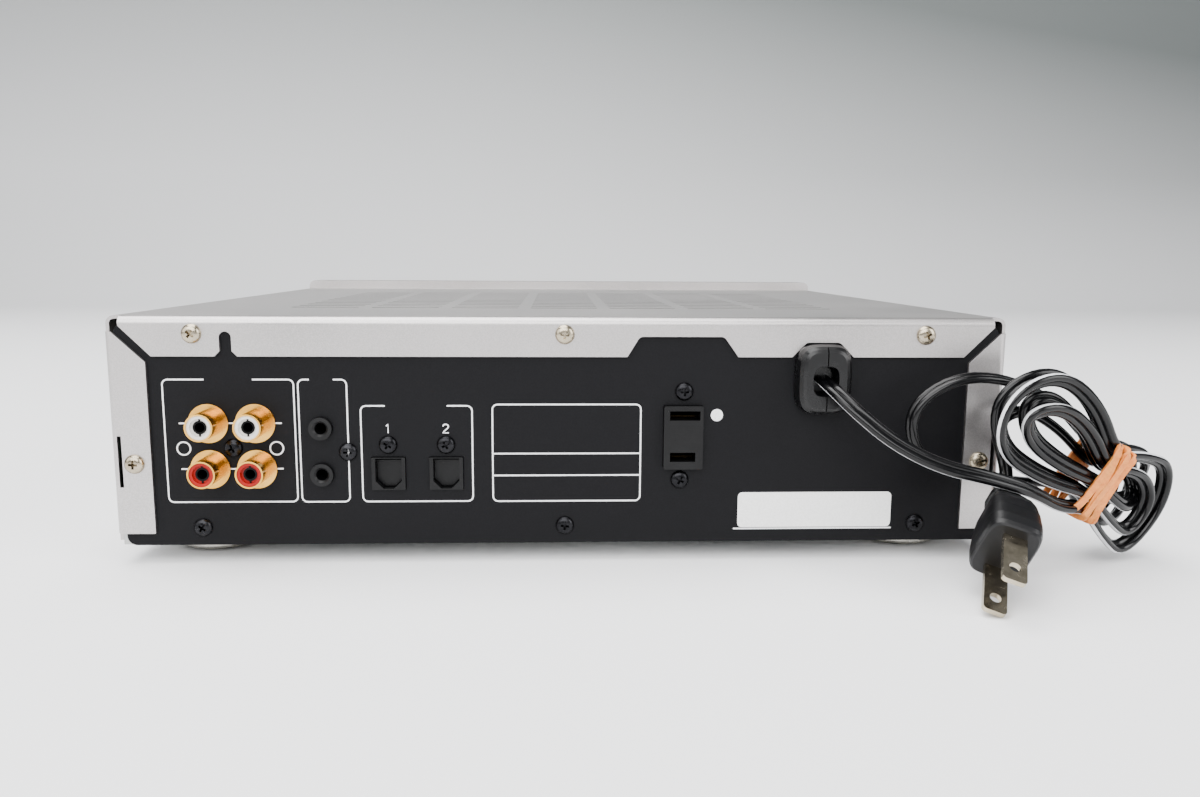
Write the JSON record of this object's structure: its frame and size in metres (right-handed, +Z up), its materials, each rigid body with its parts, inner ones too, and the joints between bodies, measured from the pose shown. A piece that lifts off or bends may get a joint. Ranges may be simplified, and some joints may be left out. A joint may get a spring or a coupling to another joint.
{
  "type": "minidisc deck",
  "caption": "Slot-loading minidisc deck, rear shown: silver cover, black connector panel, phono and optical sockets, mains outlet, tied mains cord with plug.",
  "frame": {"origin": "on the desk, under the middle of the deck without its mains cord", "axes": "+Z up, the front panel faces -Y, the connector side faces +Y, +X is picture left"},
  "size_m": [0.3308, 0.3229, 0.081],
  "materials": {
    "cover_silver": "satin silver paint",
    "panel_black": "matt black paint",
    "chassis_steel": "zinc-plated sheet",
    "foot_silver": "plated plastic",
    "pad_rubber": "matt",
    "screw_nickel": "nickel plated",
    "screw_black": "black oxide",
    "jack_gilt": "gilt",
    "insert_white": "gloss",
    "insert_red": "gloss",
    "moulding_black": "matt",
    "contact_brass": "bright",
    "bush_black": "satin",
    "cord_vinyl": "satin vinyl",
    "band_rubber": "natural rubber",
    "plug_vinyl": "satin vinyl",
    "blade_nickel": "nickel plated",
    "front_silver": "satin silver paint",
    "window_smoke": "smoked acrylic",
    "button_silver": "satin",
    "button_red": "satin",
    "dial_silver": "turned",
    "board_green": "solder mask",
    "tube_glass": "display glass",
    "board_tan": "paper laminate",
    "core_steel": "laminated",
    "can_sleeve": "sleeve",
    "sink_aluminium": "plain",
    "motor_steel": "plain",
    "turntable_black": "moulded",
    "rod_steel": "ground",
    "sled_casting": "cast",
    "holder_steel": "stainless",
    "gear_acetal": "acetal"
  },
  "bodies": {
    "deck": {"top_cover": "cover_silver", "rear_panel": "panel_black", "chassis_tray": "chassis_steel", "feet": "foot_silver", "foot_pads": "pad_rubber", "cover_screws": "screw_nickel", "panel_screws": "screw_black", "rca_shells": "jack_gilt", "rca_inserts_white": "insert_white", "rca_inserts_red": "insert_red", "rca_block": "moulding_black", "remote_jacks": "moulding_black", "optical_socket_1": "moulding_black", "optical_socket_2": "moulding_black", "outlet_body": "moulding_black", "outlet_contacts": "contact_brass", "cord_bush": "bush_black", "power_cord": "cord_vinyl", "cord_hank": "cord_vinyl", "plug_lead": "cord_vinyl", "rubber_band": "band_rubber", "plug_body": "plug_vinyl", "plug_blades": "blade_nickel", "front_panel": "front_silver", "display_window": "window_smoke", "front_board": "board_green", "display_tube": "tube_glass", "main_board": "board_green", "power_board": "board_tan", "transformer": "core_steel", "capacitors": "can_sleeve", "heat_sink": "sink_aluminium", "mech_frame": "chassis_steel", "spindle_motor": "motor_steel", "guide_rods": "rod_steel", "sled_motor": "motor_steel", "loading_motor": "motor_steel"},
    "slot_flap_body": {"slot_flap": "moulding_black"},
    "optical_shutter_1_body": {"optical_shutter_1": "moulding_black"},
    "optical_shutter_2_body": {"optical_shutter_2": "moulding_black"},
    "power_button_body": {"power_button": "button_silver"},
    "eject_button_body": {"eject_button": "button_silver"},
    "stop_button_body": {"stop_button": "button_silver"},
    "play_button_body": {"play_button": "button_silver"},
    "record_button_body": {"record_button": "button_red"},
    "back_button_body": {"back_button": "button_silver"},
    "forward_button_body": {"forward_button": "button_silver"},
    "menu_button_body": {"menu_button": "button_silver"},
    "jog_dial_body": {"jog_dial": "dial_silver"},
    "level_knob_body": {"level_knob": "dial_silver"},
    "turntable_body": {"turntable": "turntable_black"},
    "pickup_sled_body": {"pickup_sled": "sled_casting"},
    "lead_screw_body": {"lead_screw": "rod_steel"},
    "sled_pinion_body": {"sled_pinion": "contact_brass"},
    "cam_slider_body": {"cam_slider": "gear_acetal"},
    "cartridge_holder_body": {"cartridge_holder": "holder_steel"},
    "head_arm_body": {"head_arm": "holder_steel"},
    "loading_gear_body": {"loading_gear": "gear_acetal"},
    "loading_pinion_body": {"loading_pinion": "contact_brass"}
  },
  "joints": [
    {"name": "flap_hinge", "type": "hinge", "parent": "deck", "child": "slot_flap_body", "pos_m": [-0.008, -0.1095, 0.0666], "axis": [1, 0, 0], "range_deg": [0, 80], "stiffness_Nm_per_rad": 0.004},
    {"name": "shutter_1_hinge", "type": "hinge", "parent": "deck", "child": "optical_shutter_1_body", "pos_m": [0.0543, 0.1249, 0.0323], "axis": [-1, 0, 0], "range_deg": [0, 80], "stiffness_Nm_per_rad": 0.0008},
    {"name": "shutter_2_hinge", "type": "hinge", "parent": "deck", "child": "optical_shutter_2_body", "pos_m": [0.0366, 0.1249, 0.0323], "axis": [-1, 0, 0], "range_deg": [0, 80], "stiffness_Nm_per_rad": 0.0008},
    {"name": "power_press", "type": "slide", "parent": "deck", "child": "power_button_body", "axis": [0, 1, 0], "range_m": [0, 0.0007], "stiffness_N_per_m": 600},
    {"name": "eject_press", "type": "slide", "parent": "deck", "child": "eject_button_body", "axis": [0, 1, 0], "range_m": [0, 0.0007], "stiffness_N_per_m": 600},
    {"name": "stop_press", "type": "slide", "parent": "deck", "child": "stop_button_body", "axis": [0, 1, 0], "range_m": [0, 0.0007], "stiffness_N_per_m": 600},
    {"name": "play_press", "type": "slide", "parent": "deck", "child": "play_button_body", "axis": [0, 1, 0], "range_m": [0, 0.0007], "stiffness_N_per_m": 600},
    {"name": "record_press", "type": "slide", "parent": "deck", "child": "record_button_body", "axis": [0, 1, 0], "range_m": [0, 0.0007], "stiffness_N_per_m": 600},
    {"name": "back_press", "type": "slide", "parent": "deck", "child": "back_button_body", "axis": [0, 1, 0], "range_m": [0, 0.0007], "stiffness_N_per_m": 600},
    {"name": "forward_press", "type": "slide", "parent": "deck", "child": "forward_button_body", "axis": [0, 1, 0], "range_m": [0, 0.0007], "stiffness_N_per_m": 600},
    {"name": "menu_press", "type": "slide", "parent": "deck", "child": "menu_button_body", "axis": [0, 1, 0], "range_m": [0, 0.0007], "stiffness_N_per_m": 600},
    {"name": "jog_turn", "type": "hinge", "parent": "deck", "child": "jog_dial_body", "pos_m": [0.102, -0.1265, 0.052], "axis": [0, -1, 0], "continuous": true},
    {"name": "level_turn", "type": "hinge", "parent": "deck", "child": "level_knob_body", "pos_m": [-0.112, -0.1265, 0.026], "axis": [0, -1, 0], "range_deg": [-140, 140]},
    {"name": "spindle_spin", "type": "hinge", "parent": "deck", "child": "turntable_body", "pos_m": [-0.008, -0.0585, 0.0528], "axis": [0, 0, 1], "continuous": true},
    {"name": "sled_slide", "type": "slide", "parent": "deck", "child": "pickup_sled_body", "axis": [0, 1, 0], "range_m": [0, 0.016]},
    {"name": "screw_turn", "type": "hinge", "parent": "deck", "child": "lead_screw_body", "pos_m": [0.005, -0.0465, 0.0514], "axis": [0, 1, 0], "range_deg": [0, 1921]},
    {"name": "sled_pinion_turn", "type": "hinge", "parent": "deck", "child": "sled_pinion_body", "pos_m": [0.01167, -0.0045, 0.05383], "axis": [0, 1, 0], "range_deg": [-3457, 0]},
    {"name": "cam_slide", "type": "slide", "parent": "deck", "child": "cam_slider_body", "axis": [0, 1, 0], "range_m": [0, 0.014]},
    {"name": "holder_drop", "type": "slide", "parent": "deck", "child": "cartridge_holder_body", "axis": [0, 0, -1], "range_m": [0, 0.006]},
    {"name": "head_swing", "type": "hinge", "parent": "deck", "child": "head_arm_body", "pos_m": [-0.008, -0.0065, 0.0685], "axis": [1, 0, 0], "range_deg": [0, 6.5]},
    {"name": "loading_gear_turn", "type": "hinge", "parent": "deck", "child": "loading_gear_body", "pos_m": [0.06532, -0.05039, 0.0474], "axis": [0, 0, 1], "range_deg": [-72, 0]},
    {"name": "loading_pinion_turn", "type": "hinge", "parent": "deck", "child": "loading_pinion_body", "pos_m": [0.06532, -0.03429, 0.0474], "axis": [0, 0, 1], "range_deg": [0, 168]}
  ],
  "couplings": [
    {"joint": "screw_turn", "follows": "sled_slide", "rad_per_m": 2094.4},
    {"joint": "sled_pinion_turn", "follows": "sled_slide", "rad_per_m": -3769.9},
    {"joint": "holder_drop", "follows": "cam_slide", "ratio": 0.42857},
    {"joint": "head_swing", "follows": "cam_slide", "rad_per_m": 8.1},
    {"joint": "loading_gear_turn", "follows": "cam_slide", "rad_per_m": -89.286},
    {"joint": "loading_pinion_turn", "follows": "cam_slide", "rad_per_m": 208.33}
  ]
}
